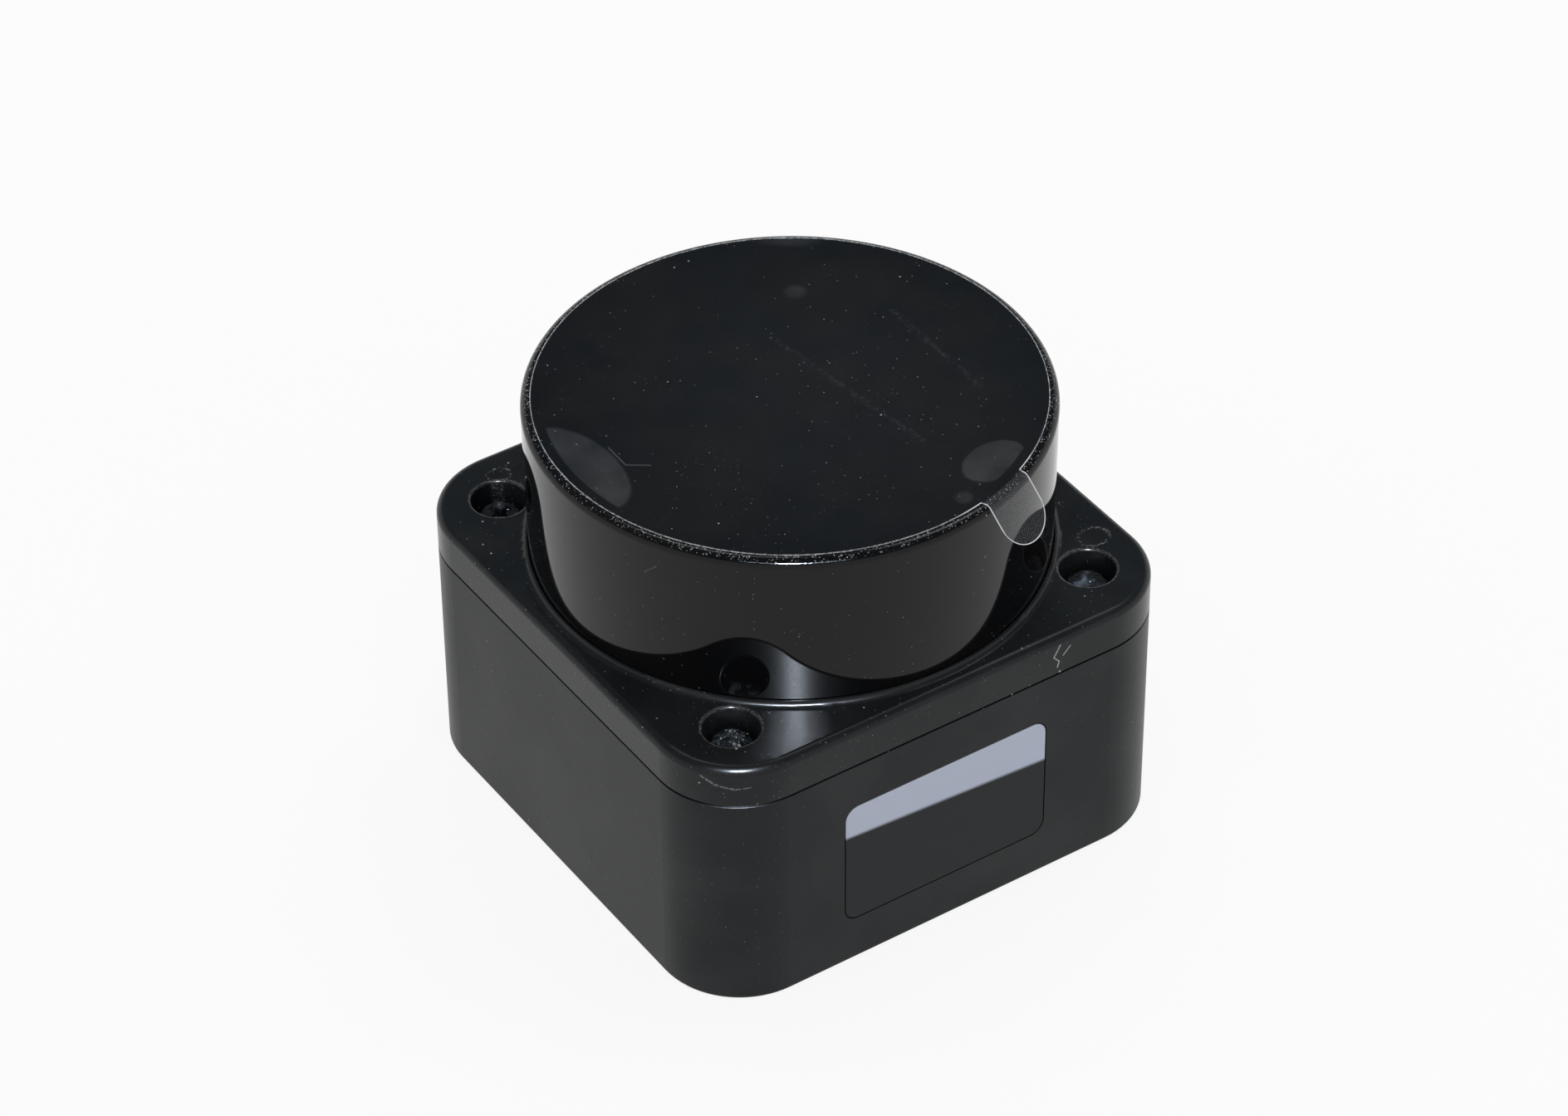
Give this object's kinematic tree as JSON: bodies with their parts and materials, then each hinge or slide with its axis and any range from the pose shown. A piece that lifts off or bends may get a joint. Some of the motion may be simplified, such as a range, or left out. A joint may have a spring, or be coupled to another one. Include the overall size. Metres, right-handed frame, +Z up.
{
  "type": "lidar sensor",
  "caption": "Square-based scanning lidar with a screwed cover, a low coved collar, a fixed round gloss window under protective film and a spinning optical head inside.",
  "frame": {"origin": "centre of the underside, on the surface that the sensor stands on", "axes": "+Z up along the scan head's axis, -Y towards the labelled front face, +Y towards the inlet"},
  "size_m": [0.06, 0.06, 0.0511],
  "materials": {
    "base_plastic": "satin dark grey moulded plastic with fine grain",
    "cover_plastic": "gloss black moulded plastic",
    "window_plastic": "mirror-gloss black infrared-passing plastic",
    "film_clear": "thin clear film",
    "label_print": "printed film in a pale and a black field",
    "screw_black": "blackened steel",
    "gasket_rubber": "soft black rubber",
    "board_green": "circuit board",
    "chip_black": "moulded component",
    "socket_cream": "moulded socket",
    "pin_gold": "gilt pins",
    "plate_aluminium": "machined aluminium",
    "bush_bronze": "sintered bronze",
    "steel_bright": "ground steel",
    "core_iron": "stacked iron sheet",
    "ferrite_grey": "pressed ferrite",
    "magnet_grey": "bonded magnet",
    "winding_copper": "enamelled copper wire",
    "lens_clear": "polished lens",
    "frame_black": "matt black moulded plastic",
    "weight_brass": "plain brass"
  },
  "bodies": {
    "base": {"base_housing": "base_plastic", "top_cover": "cover_plastic", "optical_window": "window_plastic", "cover_screws": "screw_black", "cover_gasket": "gasket_rubber", "id_label": "label_print", "protective_film": "film_clear", "main_board": "board_green", "board_screws": "steel_bright", "control_chip": "chip_black", "board_parts": "chip_black", "link_receiver": "chip_black", "io_pins": "pin_gold", "io_socket": "socket_cream", "motor_plate": "plate_aluminium", "plate_screws": "steel_bright", "header_pins": "pin_gold", "header_block": "chip_black", "motor_board": "board_green", "bearing_bushes": "bush_bronze", "stator_core": "core_iron", "stator_coils": "winding_copper", "fixed_ferrite": "ferrite_grey", "fixed_coil": "winding_copper", "encoder_fork": "chip_black"},
    "head": {"spindle": "steel_bright", "retaining_clip": "steel_bright", "rotor_disc": "plate_aluminium", "rotor_yoke": "core_iron", "magnet_ring": "magnet_grey", "rotor_ferrite": "ferrite_grey", "rotor_coil": "winding_copper", "encoder_ring": "frame_black", "rotor_board": "board_green", "rotor_parts": "chip_black", "link_emitter": "chip_black", "optical_frame": "frame_black", "frame_screws": "steel_bright", "receiver_lens": "lens_clear", "emitter_lens": "lens_clear", "sensor_board": "board_green", "sensor_screws": "steel_bright", "detector_chip": "chip_black", "laser_diode": "steel_bright", "balance_weight": "weight_brass"}
  },
  "joints": [
    {"name": "head_spin", "type": "hinge", "parent": "base", "child": "head", "pos_m": [0, 0, 0.0194], "axis": [0, 0, 1], "continuous": true}
  ]
}
